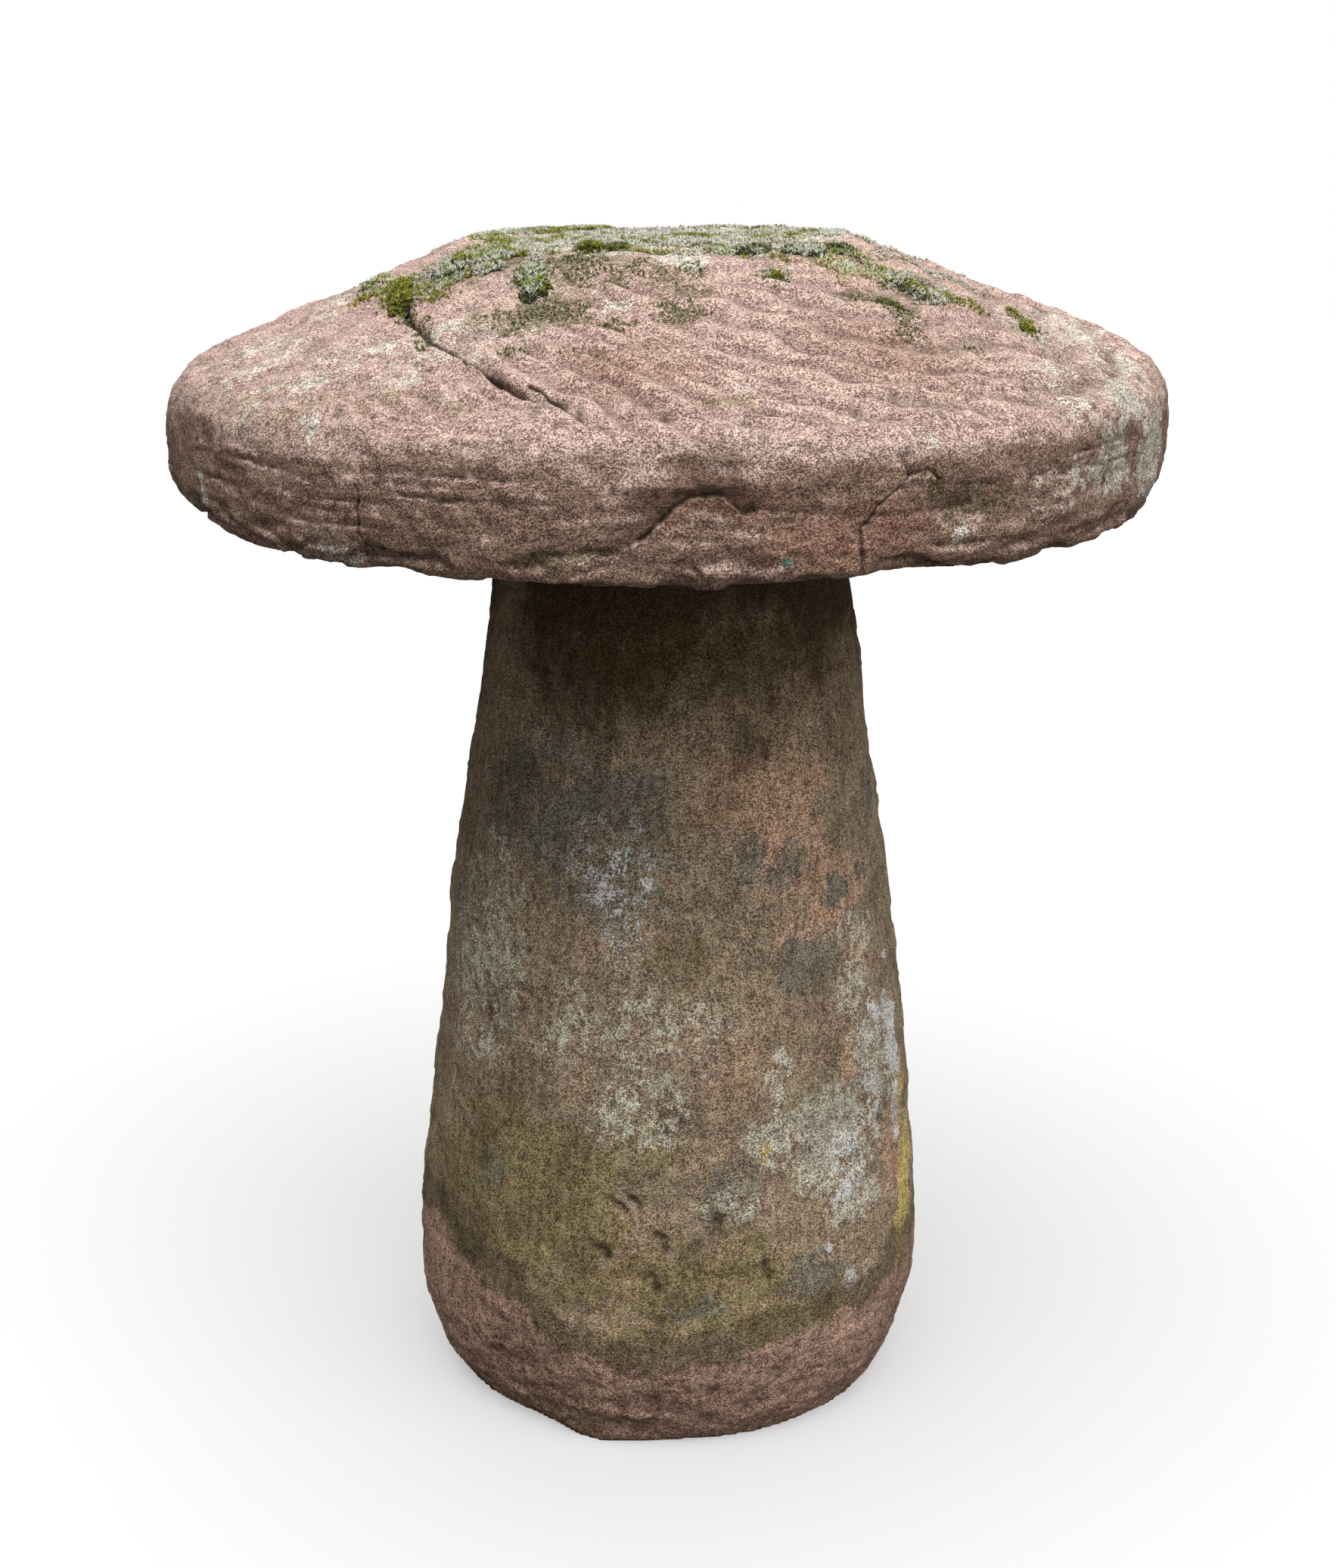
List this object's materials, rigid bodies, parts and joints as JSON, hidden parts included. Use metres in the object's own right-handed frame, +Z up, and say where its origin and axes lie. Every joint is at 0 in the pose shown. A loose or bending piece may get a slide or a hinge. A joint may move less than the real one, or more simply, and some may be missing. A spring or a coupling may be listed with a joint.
{
  "type": "staddle stone",
  "caption": "Mushroom-shaped garden and granary support of weathered red sandstone: a broad domed cap with moss, resting on a tapering round stem.",
  "frame": {"origin": "middle of the stem's flat resting face", "axes": "+Z up along the stem; -Y is the front, the side with the open joint and the large flake in the cap; +X is to the right when looking at the front"},
  "size_m": [0.6214, 0.6299, 0.7629],
  "materials": {
    "stem_stone": "matte",
    "cap_stone": "matte",
    "moss": "matte"
  },
  "bodies": {
    "root": {"stem": "stem_stone", "cap": "cap_stone", "moss_left_mat": "moss", "moss_crack_cushion": "moss", "moss_tongue": "moss", "moss_ridge_cushion": "moss", "moss_right_mat": "moss", "moss_pale_tuft": "moss", "moss_right_edge": "moss", "moss_front_clump": "moss", "moss_lower_clump": "moss", "moss_golden_tuft": "moss", "moss_crown_left": "moss", "moss_crown_middle": "moss", "moss_crown_right": "moss", "moss_back_left": "moss", "moss_back_right": "moss", "moss_back_slope": "moss", "moss_back_clump": "moss"}
  },
  "joints": []
}
